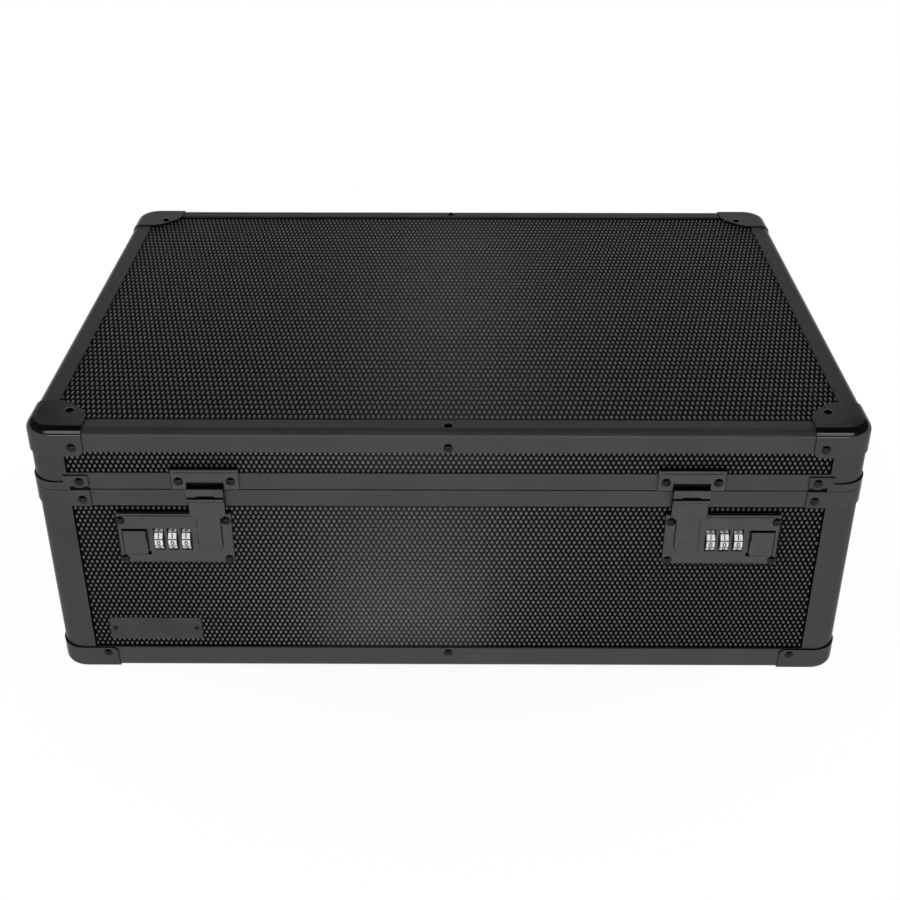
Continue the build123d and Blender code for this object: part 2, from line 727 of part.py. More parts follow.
with BuildPart() as badge:
    with BuildSketch(wall_face("front", -SKIN)):
        with Locations((BADGE_X, BADGE_Z)):
            RectangleRounded(BADGE_WIDTH, BADGE_HEIGHT, BADGE_CORNER_RADIUS)
        with Locations(*BADGE_PINS):
            Circle(BADGE_PIN / 2, mode=Mode.SUBTRACT)
    extrude(amount=BADGE_SHEET)
finish(badge.part, "badge_plate")

with BuildPart() as badge_pins:
    with BuildSketch(wall_face("front", -SKIN)):
        with Locations(*BADGE_PINS):
            Circle(BADGE_PIN / 2)
    extrude(amount=BADGE_SHEET)
    with BuildSketch(wall_face("front", BADGE_SHEET - SKIN)):
        with Locations(*BADGE_PINS):
            Circle(BADGE_PIN_HEAD / 2)
    extrude(amount=BADGE_PIN_DOME, taper=BADGE_PIN_TAPER)
finish(badge_pins.part, "badge_pins")


# Hinges at the back, their axis level with the parting line

HINGE_AXIS_OUT = HINGE_KNUCKLE_RADIUS + HINGE_CLEAR
KNUCKLE_PITCH = HINGE_WIDTH / HINGE_KNUCKLES


def hinge_section(x):
    """A plane across the back at x: local x runs outwards, local y up."""
    return Plane(origin=(x, HALF_DEPTH, 0), x_dir=(0, 1, 0), z_dir=(1, 0, 0))


def hinge_leaf(direction):
    """One leaf of the right hinge: direction is 1 for the lid's and -1 for the base's."""
    first = 1 if direction > 0 else 0
    with BuildPart() as leaf:
        with BuildSketch(wall_face("back", 0)):
            with Locations((-HINGE_OFFSET, PARTING + direction * (HINGE_AXIS_OUT + HINGE_LEAF_HEIGHT) / 2)):
                RectangleRounded(HINGE_WIDTH, HINGE_LEAF_HEIGHT - HINGE_AXIS_OUT, HINGE_CORNER_RADIUS)
        extrude(amount=HINGE_SHEET)
        for knuckle in range(first, HINGE_KNUCKLES, 2):
            x = HINGE_OFFSET - HINGE_WIDTH / 2 + (knuckle + 0.5) * KNUCKLE_PITCH
            with BuildSketch(hinge_section(x)):
                with Locations((HINGE_AXIS_OUT, PARTING)):
                    Circle(HINGE_KNUCKLE_RADIUS)
                with Locations((HINGE_AXIS_OUT / 2, PARTING + direction * (PARTING_GAP + HINGE_AXIS_OUT) / 2)):
                    Rectangle(HINGE_AXIS_OUT, HINGE_AXIS_OUT - PARTING_GAP)
            extrude(amount=(KNUCKLE_PITCH - HINGE_KNUCKLE_GAP) / 2, both=True)
        with BuildSketch(hinge_section(HINGE_OFFSET)):
            with Locations((HINGE_AXIS_OUT, PARTING)):
                Circle(HINGE_PIN / 2 + FIT)
        extrude(amount=HINGE_WIDTH / 2, both=True, mode=Mode.SUBTRACT)
    return leaf.part


with BuildPart() as base_leaf:
    add(hinge_leaf(-1))
    add(BASE_HOLES, mode=Mode.SUBTRACT)
finish_pair(base_leaf.part, "hinge_base_leaf")

with BuildPart() as lid_leaf:
    add(hinge_leaf(1))
    add(LID_HOLES, mode=Mode.SUBTRACT)
finish_pair(lid_leaf.part, "hinge_lid_leaf")

with BuildPart() as hinge_pin:
    with BuildSketch(hinge_section(HINGE_OFFSET)):
        with Locations((HINGE_AXIS_OUT, PARTING)):
            Circle(HINGE_PIN / 2)
    extrude(amount=HINGE_WIDTH / 2, both=True)
finish_pair(hinge_pin.part, "hinge_pin")


# Locks and latches: each piece is the right one, and the left one is its mirror image


def barrel(x, width, out, z, radius):
    """A barrel along X on the front."""
    with BuildPart() as tube:
        with BuildSketch(latch_section(x)):
            with Locations((out, z)):
                Circle(radius)
        extrude(amount=width / 2, both=True)
    return tube.part


with BuildPart() as lock_plate:
    with BuildSketch(wall_face("front", PLATE_BACK)):
        with Locations((PLATE_X, PLATE_TOP - PLATE_HEIGHT / 2)):
            RectangleRounded(PLATE_WIDTH, PLATE_HEIGHT, PLATE_CORNER_RADIUS)
    extrude(amount=PLATE_SHEET)
    chamfer(lock_plate.faces().sort_by(Axis.Y)[0].edges(), PLATE_BEVEL)

    # Groove inside the top edge
    groove_z = (PLATE_TOP - RIM_GROOVE_IN - RIM_GROOVE, PLATE_TOP - RIM_GROOVE_IN)
    groove_out = (PLATE_FACE - RIM_GROOVE, PLATE_FACE)
    groove = front_block(around(PLATE_X, PLATE_WIDTH - 2 * RIM_GROOVE_IN), groove_z, groove_out)
    add(groove, mode=Mode.SUBTRACT)

    # Tongue up to the pivot's two ears
    add(front_block(around(LATCH_OFFSET, LATCH_WIDTH), (PLATE_TOP - PLATE_SHEET, PIVOT_Z), (0, TONGUE_SHEET)))
    add(barrel(LATCH_OFFSET, LATCH_WIDTH, PIVOT_OUT, PIVOT_Z, EAR_RADIUS))
    middle_z = (PIVOT_Z - EAR_RADIUS - 2 * RUN_GAP, PIVOT_Z + 2 * EAR_RADIUS)
    middle = front_block(around(LATCH_OFFSET, LATCH_MIDDLE + 2 * RUN_GAP), middle_z, (0, 3 * EAR_RADIUS))
    add(middle, mode=Mode.SUBTRACT)
    add(barrel(LATCH_OFFSET, LATCH_WIDTH, PIVOT_OUT, PIVOT_Z, LATCH_PIN / 2 + FIT), mode=Mode.SUBTRACT)

    # Pocket of the slide button, with the slot for its shank
    pocket_x = (
        BUTTON_X - BUTTON_WIDTH / 2 - RUN_GAP - BUTTON_TRAVEL,
        BUTTON_X + BUTTON_WIDTH / 2 + RUN_GAP,
    )
    pocket_z = (BUTTON_BOTTOM - RUN_GAP, BUTTON_TOP + POCKET_TOP_GAP)
    add(front_block(pocket_x, pocket_z, (POCKET_FACE, PLATE_FACE)), mode=Mode.SUBTRACT)
    slot_x = (
        BUTTON_X - SHANK_WIDTH / 2 - RUN_GAP - BUTTON_TRAVEL,
        BUTTON_X + SHANK_WIDTH / 2 + RUN_GAP,
    )
    slot_z = around(DIAL_Z, SHANK_HEIGHT + 2 * RUN_GAP)
    add(front_block(slot_x, slot_z, (PLATE_BACK, POCKET_FACE)), mode=Mode.SUBTRACT)

    # Bay of the dials behind their windows
    bay_z = around(DIAL_Z, 2 * (DIAL_RADIUS + RUN_GAP))
    bay = front_block(around(DIAL_X, DIAL_STACK + 2 * RUN_GAP), bay_z, (PLATE_BACK, PLATE_FACE - WINDOW_SKIN))
    add(bay, mode=Mode.SUBTRACT)
    window_z = (DIAL_Z - WINDOW_BELOW_DIALS, DIAL_Z + WINDOW_ABOVE_DIALS)
    for place in DIAL_PLACES:
        window_x = around(place, DIAL_WIDTH + 2 * RUN_GAP)
        add(front_block(window_x, window_z, (PLATE_BACK, PLATE_FACE)), mode=Mode.SUBTRACT)

    # Slot that the flap's staple swings through
    staple_z = (PIVOT_Z - STAPLE_REACH - RUN_GAP, BAR_TOP + RUN_GAP)
    staple_slot = front_block(around(LATCH_OFFSET, STAPLE_SHEET + 2 * RUN_GAP), staple_z, (PLATE_BACK, PLATE_FACE))
    add(staple_slot, mode=Mode.SUBTRACT)
    add(BASE_HOLES, mode=Mode.SUBTRACT)
finish_pair(lock_plate.part, "lock_plate")

with BuildPart() as lock_case:
    add(front_block((CASE_INNER_X, CASE_OUTER_X), (CASE_BOTTOM, CASE_TOP), (CASE_BACK, PLATE_BACK)))
    inner_x = (CASE_INNER_X + CASE_SHEET, CASE_OUTER_X - CASE_SHEET)
    inner_z = (CASE_BOTTOM + CASE_SHEET, CASE_TOP - CASE_SHEET)
    add(front_block(inner_x, inner_z, (CASE_BACK + CASE_SHEET, PLATE_BACK)), mode=Mode.SUBTRACT)
    for rib_x in around(DIAL_X, DIAL_STACK + 2 * RUN_GAP + CASE_SHEET):
        rib_z = (CASE_BOTTOM, BAR_BOTTOM - RUN_GAP)
        add(front_block(around(rib_x, CASE_SHEET), rib_z, (CASE_BACK, PLATE_BACK)))
    add(barrel(DIAL_X, 1.5 * DIAL_STACK, SPINDLE_OUT, DIAL_Z, SPINDLE / 2 + FIT), mode=Mode.SUBTRACT)
finish_pair(lock_case.part, "lock_case")

spindle_length = DIAL_STACK + 2 * (RUN_GAP + CASE_SHEET)
finish_pair(barrel(DIAL_X, spindle_length, SPINDLE_OUT, DIAL_Z, SPINDLE / 2), "dial_spindle")

for number, place in enumerate(DIAL_PLACES, start=1):
    with BuildPart() as dial:
        with BuildSketch(latch_section(place)):
            with Locations((SPINDLE_OUT, DIAL_Z)):
                Circle(DIAL_RADIUS)
                with PolarLocations(DIAL_RADIUS, DIAL_DIGITS, start_angle=180 / DIAL_DIGITS):
                    Rectangle(2 * DIAL_GROOVE_DEPTH, DIAL_GROOVE, mode=Mode.SUBTRACT)
        extrude(amount=DIAL_WIDTH / 2, both=True)
        add(barrel(place, DIAL_HUB_WIDTH, SPINDLE_OUT, DIAL_Z, DIAL_HUB_RADIUS))
        add(barrel(place, DIAL_HUB_WIDTH, SPINDLE_OUT, DIAL_Z, SPINDLE / 2 + FIT), mode=Mode.SUBTRACT)
    finish_pair(dial.part, f"dial_{number}")

with BuildPart() as slide_button:
    with BuildSketch(wall_face("front", POCKET_FACE + RUN_GAP)):
        with Locations((BUTTON_X, (BUTTON_BOTTOM + BUTTON_TOP) / 2)):
            RectangleRounded(BUTTON_WIDTH, BUTTON_HEIGHT, BUTTON_CORNER_RADIUS)
    extrude(amount=PLATE_FACE + BUTTON_PROUD - POCKET_FACE - RUN_GAP)
    chamfer(slide_button.faces().sort_by(Axis.Y)[0].edges(), BUTTON_BEVEL)
    shank_z = around(DIAL_Z, SHANK_HEIGHT)
    add(front_block(around(BUTTON_X, SHANK_WIDTH), shank_z, (BAR_FACE, POCKET_FACE + RUN_GAP)))
finish_pair(slide_button.part, "slide_button")

BOLT_START = LATCH_OFFSET - STAPLE_SHEET / 2 - RUN_GAP
BOLT_Z = (BAR_BOTTOM, BAR_BOTTOM + BOLT_HEIGHT)

with BuildPart() as lock_bar:
    add(front_block((BOLT_START - BOLT_BLOCK, BUTTON_X), (BAR_BOTTOM, BAR_TOP), (BAR_BACK, BAR_FACE)))
    add(front_block(around(BUTTON_X, SHANK_WIDTH), (DIAL_Z - SHANK_HEIGHT / 2, BAR_TOP), (BAR_BACK, BAR_FACE)))
    add(front_block((BOLT_START - BOLT_BLOCK, BOLT_START), BOLT_Z, (BAR_FACE, BOLT_FACE)))
    add(front_block((BOLT_START, BOLT_START + RUN_GAP + BOLT_BITE), BOLT_Z, (BOLT_BACK, BOLT_FACE)))
finish_pair(lock_bar.part, "lock_bar")

with BuildPart() as button_spring:
    coil_start = BUTTON_X + SHANK_WIDTH / 2 + FIT + SPRING_WIRE / 2
    coil_end = CASE_OUTER_X - CASE_SHEET - RUN_GAP - SPRING_WIRE / 2
    coil_out = (BAR_FACE + POCKET_FACE) / 2
    with BuildLine() as coil:
        Helix(
            (coil_end - coil_start) / SPRING_TURNS,
            coil_end - coil_start,
            SPRING_RADIUS,
            center=(coil_start, -HALF_DEPTH - coil_out, DIAL_Z),
            direction=(1, 0, 0),
        )
    with BuildSketch(Plane(origin=coil.line @ 0, z_dir=coil.line % 0)):
        Circle(SPRING_WIRE / 2)
    sweep(path=coil.line, is_frenet=True)
finish_pair(button_spring.part, "button_spring")

with BuildPart() as flap:
    with BuildSketch(wall_face("front", FLAP_BACK)) as outline:
        with Locations((LATCH_OFFSET, FLAP_BOTTOM)):
            Rectangle(FLAP_TAIL_WIDTH, FLAP_HEAD_TOP - FLAP_BOTTOM, align=(Align.CENTER, Align.MIN))
        fillet(outline.vertices().group_by(Axis.Y)[0], FLAP_END_RADIUS)
        with Locations((LATCH_OFFSET, FLAP_HEAD_BOTTOM)):
            Rectangle(LATCH_WIDTH, FLAP_HEAD_HEIGHT, align=(Align.CENTER, Align.MIN))
        fillet(outline.vertices().group_by(Axis.X)[0].sort_by(Axis.Y)[0], FLAP_SHOULDER_RADIUS)
        fillet(outline.vertices().group_by(Axis.X)[-1].sort_by(Axis.Y)[0], FLAP_SHOULDER_RADIUS)
    extrude(amount=FLAP_SHEET)
    chamfer(flap.faces().sort_by(Axis.Y)[0].edges(), FLAP_BEVEL)

    # Neck between the hub and the link's knuckle
    with BuildSketch(latch_section(LATCH_OFFSET)):
        with Locations((PIVOT_OUT, PIVOT_Z)):
            Circle(EAR_RADIUS)
        with Locations((LINK_PIN_OUT, LINK_PIN_Z)):
            Circle(LINK_KNUCKLE_RADIUS)
        with BuildLine():
            Polyline(
                (FLAP_BACK, FLAP_HEAD_TOP - FLAP_SHEET),
                (FLAP_FRONT - FLAP_BEVEL, FLAP_HEAD_TOP - FLAP_SHEET),
                (LINK_PIN_OUT, LINK_PIN_Z),
                (PIVOT_OUT, PIVOT_Z),
                (FLAP_BACK, PIVOT_Z - EAR_RADIUS),
                close=True,
            )
        make_face()
    extrude(amount=LATCH_MIDDLE / 2, both=True)
    add(barrel(LATCH_OFFSET, LATCH_MIDDLE, PIVOT_OUT, PIVOT_Z, LATCH_PIN / 2 + FIT), mode=Mode.SUBTRACT)
    add(barrel(LATCH_OFFSET, LATCH_MIDDLE, LINK_PIN_OUT, LINK_PIN_Z, LATCH_PIN / 2 + FIT), mode=Mode.SUBTRACT)

    # Staple that the bolt goes through
    staple_x = around(LATCH_OFFSET, STAPLE_SHEET)
    add(front_block(staple_x, (STAPLE_BOTTOM, BAR_TOP), (STAPLE_TIP, FLAP_BACK)))
    eye_z = (BOLT_Z[0] - RUN_GAP, BOLT_Z[1] + RUN_GAP)
    add(front_block(staple_x, eye_z, (BOLT_BACK - RUN_GAP, BOLT_FACE + RUN_GAP)), mode=Mode.SUBTRACT)
finish_pair(flap.part, "flap")

finish_pair(barrel(LATCH_OFFSET, LATCH_WIDTH, PIVOT_OUT, PIVOT_Z, LATCH_PIN / 2), "flap_pin")
finish_pair(barrel(LATCH_OFFSET, LATCH_WIDTH, LINK_PIN_OUT, LINK_PIN_Z, LATCH_PIN / 2), "link_pin")

with BuildPart() as hook_link:
    with BuildSketch(latch_section(LATCH_OFFSET)) as profile:
        with Locations((LINK_PIN_OUT, LINK_PIN_Z)):
            Circle(LINK_KNUCKLE_RADIUS)
        with Locations((LINK_BACK, LINK_PIN_Z)):
            Rectangle(LINK_SHEET, NOSE_TOP - LINK_PIN_Z, align=Align.MIN)
        with Locations((RUN_GAP, NOSE_Z)):
            Rectangle(LINK_FRONT - RUN_GAP, LINK_SHEET, align=Align.MIN)
        fillet(profile.vertices().sort_by_distance((LINK_FRONT, NOSE_TOP))[0], LINK_BEND_RADIUS)
    extrude(amount=LATCH_WIDTH / 2, both=True)
    link_slot_z = (LINK_PIN_Z - 2 * LINK_KNUCKLE_RADIUS, LINK_PIN_Z + LINK_SLOT_ABOVE_PIN)
    link_slot_x = around(LATCH_OFFSET, LATCH_MIDDLE + 2 * RUN_GAP)
    add(front_block(link_slot_x, link_slot_z, (0, LINK_FRONT + LINK_KNUCKLE_RADIUS)), mode=Mode.SUBTRACT)
    add(barrel(LATCH_OFFSET, LATCH_WIDTH, LINK_PIN_OUT, LINK_PIN_Z, LATCH_PIN / 2 + FIT), mode=Mode.SUBTRACT)
finish_pair(hook_link.part, "hook_link")

with BuildPart() as keeper:
    with BuildSketch(wall_face("front", 0)):
        with Locations((LATCH_OFFSET, KEEPER_BOTTOM)):
            Rectangle(KEEPER_WIDTH, KEEPER_HEIGHT, align=(Align.CENTER, Align.MIN))
        with Locations((LATCH_OFFSET, KEEPER_BOTTOM + KEEPER_BAR)):
            window_width = LATCH_WIDTH + 2 * RUN_GAP
            align = (Align.CENTER, Align.MIN)
            Rectangle(window_width, KEEPER_WINDOW_HEIGHT, align=align, mode=Mode.SUBTRACT)
    extrude(amount=KEEPER_SHEET)
    chamfer(keeper.faces().sort_by(Axis.Y)[0].outer_wire().edges(), KEEPER_BEVEL)
    groove_z = (KEEPER_TOP - RIM_GROOVE_IN - RIM_GROOVE, KEEPER_TOP - RIM_GROOVE_IN)
    groove_out = (KEEPER_SHEET - RIM_GROOVE, KEEPER_SHEET)
    groove = front_block(around(LATCH_OFFSET, KEEPER_WIDTH - 2 * RIM_GROOVE_IN), groove_z, groove_out)
    add(groove, mode=Mode.SUBTRACT)
    # Pad that fills the step between the rim rail and the board
    add(front_block(around(LATCH_OFFSET, KEEPER_WIDTH), (LID_BOTTOM + RIM_RAIL_HEIGHT, KEEPER_TOP), (-SKIN, 0)))
    add(LID_HOLES, mode=Mode.SUBTRACT)
finish_pair(keeper.part, "keeper")

os.makedirs("parts", exist_ok=True)
for piece in pieces:
    export_step(piece, f"parts/{piece.label}.step")
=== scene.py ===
"""Looks of the lock box: a storage chest in a riveted black frame, with two draw latches."""

import json
import math

import bmesh
import bpy
from mathutils import Matrix, Vector


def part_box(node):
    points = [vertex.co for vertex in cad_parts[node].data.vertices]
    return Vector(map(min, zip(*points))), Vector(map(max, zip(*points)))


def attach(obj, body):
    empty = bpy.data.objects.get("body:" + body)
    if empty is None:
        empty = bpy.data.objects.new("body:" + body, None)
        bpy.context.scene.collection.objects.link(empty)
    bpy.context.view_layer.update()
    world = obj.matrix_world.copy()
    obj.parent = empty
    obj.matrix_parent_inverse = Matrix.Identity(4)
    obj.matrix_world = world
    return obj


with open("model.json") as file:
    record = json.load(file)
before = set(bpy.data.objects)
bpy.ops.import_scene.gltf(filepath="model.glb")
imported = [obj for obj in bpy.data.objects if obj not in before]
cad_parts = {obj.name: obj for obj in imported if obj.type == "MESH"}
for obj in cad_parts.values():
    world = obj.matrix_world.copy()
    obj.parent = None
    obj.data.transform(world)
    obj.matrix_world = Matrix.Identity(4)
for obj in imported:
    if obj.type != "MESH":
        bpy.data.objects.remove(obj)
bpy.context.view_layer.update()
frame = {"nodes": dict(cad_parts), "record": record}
nodes = frame["nodes"]

# a millimetre in metres; the lengths of pieces and finishes are in millimetres
MM = 0.001


# camera, floor and light, in metres


LENS, SENSOR_WIDTH = 53.93, 36
CAMERA_AT = (0.00447, -0.82965, 0.55176)
CAMERA_TILT, CAMERA_TURN = 59.15, 0.30
BOX_MIDDLE = Vector((0, 0, 0.09))
FLOOR_REACH, FLOOR_DEPTH = 9, 0.2 * MM
FLOOR_WHITE = 0.95
# from the middle of the floor: where it begins to turn plain white, and where it is
SHADOW_INNER, SHADOW_OUTER = 0.14, 0.38
GLOW_UNDER_BOX = 0.90
# heights on a ball round the studio, 0 at the horizon and 1 straight up, and the light from there
STUDIO_LIGHT = [(0.0, 0.45), (0.17, 0.20), (0.34, 0.12), (0.6, 0.08), (1.0, 0.04)]
WALL_TOP, CEILING_EDGE = 0.16, 0.25


def set_camera():
    """The photograph's view: from in front, well above the lid."""
    lens = bpy.data.cameras.new("camera")
    lens.lens = LENS
    lens.sensor_width = SENSOR_WIDTH
    camera = bpy.data.objects.new("camera", lens)
    camera.location = CAMERA_AT
    camera.rotation_euler = (math.radians(CAMERA_TILT), 0, math.radians(CAMERA_TURN))
    bpy.context.scene.collection.objects.link(camera)
    bpy.context.scene.camera = camera


def combine(tree, operation, first, second):
    """A calculation with two values."""
    node = tree.nodes.new("ShaderNodeMath")
    node.operation = operation
    tree.links.new(first, node.inputs[0])
    tree.links.new(second, node.inputs[1])
    return node.outputs[0]


def ease(tree, value, start, end, low=0.0):
    """Goes smoothly from low to 1 as the value goes from start to end."""
    node = tree.nodes.new("ShaderNodeMapRange")
    node.interpolation_type = "SMOOTHSTEP"
    node.inputs["From Min"].default_value = start
    node.inputs["From Max"].default_value = end
    node.inputs["To Min"].default_value = low
    tree.links.new(value, node.inputs["Value"])
    return node.outputs["Result"]


def seen_directly(tree):
    """1 where a straight look or a mirrored one meets the surface, 0 for the light it gives."""
    rays = tree.nodes.new("ShaderNodeLightPath").outputs
    seen = combine(tree, "MAXIMUM", rays["Is Camera Ray"], rays["Is Glossy Ray"])
    return combine(tree, "MAXIMUM", seen, rays["Is Transmission Ray"])


def white_floor():
    """White paint that keeps the box's soft shadow and glows plain white further out."""
    white = bpy.data.materials.new("white_floor")
    white.use_nodes = True
    tree = white.node_tree
    tree.nodes.clear()
    output = tree.nodes.new("ShaderNodeOutputMaterial")
    paint = tree.nodes.new("ShaderNodeBsdfDiffuse")
    paint.inputs["Color"].default_value = (FLOOR_WHITE, FLOOR_WHITE, FLOOR_WHITE, 1)
    glow = tree.nodes.new("ShaderNodeEmission")
    place = tree.nodes.new("ShaderNodeTexCoord")
    far = tree.nodes.new("ShaderNodeVectorMath")
    far.operation = "LENGTH"
    tree.links.new(place.outputs["Object"], far.inputs[0])
    plain = ease(tree, far.outputs["Value"], SHADOW_INNER, SHADOW_OUTER, GLOW_UNDER_BOX)
    mix = tree.nodes.new("ShaderNodeMixShader")
    tree.links.new(combine(tree, "MULTIPLY", seen_directly(tree), plain), mix.inputs[0])
    tree.links.new(paint.outputs[0], mix.inputs[1])
    tree.links.new(glow.outputs[0], mix.inputs[2])
    tree.links.new(mix.outputs[0], output.inputs["Surface"])
    return white


def lay_floor():
    """A wide floor, a hair under the caps that the box stands on."""
    bm = bmesh.new()
    bmesh.ops.create_grid(bm, x_segments=1, y_segments=1, size=FLOOR_REACH)
    bmesh.ops.translate(bm, verts=bm.verts, vec=(0, 0, -FLOOR_DEPTH))
    mesh = bpy.data.meshes.new("floor")
    bm.to_mesh(mesh)
    bm.free()
    mesh.materials.append(white_floor())
    floor = bpy.data.objects.new("floor", mesh)
    bpy.context.scene.collection.objects.link(floor)


def set_world():
    """A studio with white walls and a dark ceiling, and plain white wherever the camera sees it."""
    world = bpy.data.worlds.new("studio")
    bpy.context.scene.world = world
    world.use_nodes = True
    tree = world.node_tree
    look = tree.nodes.new("ShaderNodeTexCoord")
    split = tree.nodes.new("ShaderNodeSeparateXYZ")
    tree.links.new(look.outputs["Generated"], split.inputs[0])
    height = split.outputs["Z"]

    dim = tree.nodes.new("ShaderNodeValToRGB")
    ramp = dim.color_ramp
    ramp.interpolation = "EASE"
    while len(ramp.elements) < len(STUDIO_LIGHT):
        ramp.elements.new(0.5)
    for element, (position, light) in zip(ramp.elements, STUDIO_LIGHT):
        element.position = position
        element.color = (light, light, light, 1)
    tree.links.new(height, dim.inputs[0])

    on_wall = ease(tree, height, CEILING_EDGE, WALL_TOP)
    mirrored_wall = combine(tree, "MULTIPLY", seen_directly(tree), on_wall)
    rays = tree.nodes.new("ShaderNodeLightPath").outputs
    mix = tree.nodes.new("ShaderNodeMix")
    mix.data_type = "RGBA"
    mix.inputs["B"].default_value = (1, 1, 1, 1)
    tree.links.new(dim.outputs["Color"], mix.inputs["A"])
    tree.links.new(combine(tree, "MAXIMUM", mirrored_wall, rays["Is Camera Ray"]), mix.inputs["Factor"])
    tree.links.new(mix.outputs["Result"], tree.nodes["Background"].inputs["Color"])


def softbox(name, place, size, brightness, mirrored=True):
    """A rectangular lamp that faces the box. One that isn't mirrored gives light, but no reflection."""
    lamp = bpy.data.lights.new(name, "AREA")
    lamp.shape = "RECTANGLE"
    lamp.size, lamp.size_y = size
    lamp.energy = brightness * math.pi * size[0] * size[1]
    box = bpy.data.objects.new(name, lamp)
    box.location = place
    aim(box, BOX_MIDDLE - Vector(place))
    box.visible_camera = False
    box.visible_glossy = mirrored
    bpy.context.scene.collection.objects.link(box)
    return box


def aim(lamp, direction):
    """Turns a lamp to shine in a direction."""
    lamp.rotation_euler = Vector(direction).to_track_quat("-Z", "Y").to_euler()


def light_only(lamp, parts):
    """Lets a lamp light nothing but these parts."""
    receivers = bpy.data.collections.new(lamp.name)
    for part in parts:
        receivers.objects.link(part)
    lamp.light_linking.receiver_collection = receivers


def hang_softboxes():
    """The lamps for the whole box. Three would show as patches in the metal, so they aren't mirrored."""
    softbox("front_softbox", place=(0, -2.6, 0.36), size=(2.2, 0.34), brightness=2.0)
    softbox("back_softbox", place=(0, 2.6, 2.0), size=(2.4, 1.0), brightness=0.31)
    softbox("front_top_softbox", place=(0, -1.6, 1.7), size=(1.4, 1.0), brightness=3.0, mirrored=False)
    for side, x, brightness in (("left", -1.8, 5.0), ("right", 1.8, 3.8)):
        softbox(f"{side}_softbox", place=(x, -0.3, 1.35), size=(1.3, 1.3), brightness=brightness,
                mirrored=False)


def light_the_sheen(front_bumps):
    """Three lamps that only the sheet shows: a pale band down the middle of the front and the top."""
    boards = [nodes[name] for name in nodes if name.endswith("_panel")]
    up, forward = (0, 0, 1), (0, -1, 0)
    front = softbox("front_sheen", place=(-0.03, -0.545, 0.002), size=(0.10, 0.71), brightness=20)
    on_bumps = softbox("front_bump_sheen", place=(-0.04, -0.545, 0.003), size=(0.18, 0.71), brightness=1.5)
    top = softbox("top_sheen", place=(0, 0.5, 0.58), size=(0.10, 0.40), brightness=10.5)
    for strip, direction, parts in ((front, up, boards), (on_bumps, up, front_bumps), (top, forward, boards)):
        aim(strip, direction)
        light_only(strip, parts)


def light_the_caps():
    """Two softboxes for the pressed caps alone: a bright line in their rolled edges, and light on top."""
    caps = [nodes[name] for name in nodes if "corner_caps" in name or "corner_brackets" in name]
    front = softbox("cap_front_softbox", place=(0, -1.5, 1.45), size=(2.6, 1.0), brightness=2.0)
    back = softbox("cap_back_softbox", place=(0, 2.6, 1.2), size=(3.4, 0.8), brightness=0.57)
    for lamp in (front, back):
        light_only(lamp, caps)


# finishes


# how much of the white glare at a slanting look the black metals give
DIM_EDGES = (0.6, 0.6, 0.6, 1)
# a texture drawn out into lines that run along the axis with the small share
ALONG_X, ALONG_Y, ALONG_Z = (0.012, 1, 1), (1, 0.012, 1), (1, 1, 0.012)
# beyond this much to a side, a rail runs from front to back
SIDE_RAILS_FROM = 228.6
# the six number dials: their axis, the middle dial of a lock and the step to the next one
DIAL_Y, DIAL_Z = -169.7, 97.45
DIAL_MIDDLE, DIAL_STEP = 162.4, 8.1
DIAL_RADIUS = 7.2
DIGITS = 10
# where a dial's white tile ends and plain black begins, from the tile's middle:
# round the dial, with the step from number to number as 1, and along the axis
TILE_END, GAP_START = 0.40, 0.42
TILE_SIDE, FLANK_START = 2.3, 2.45


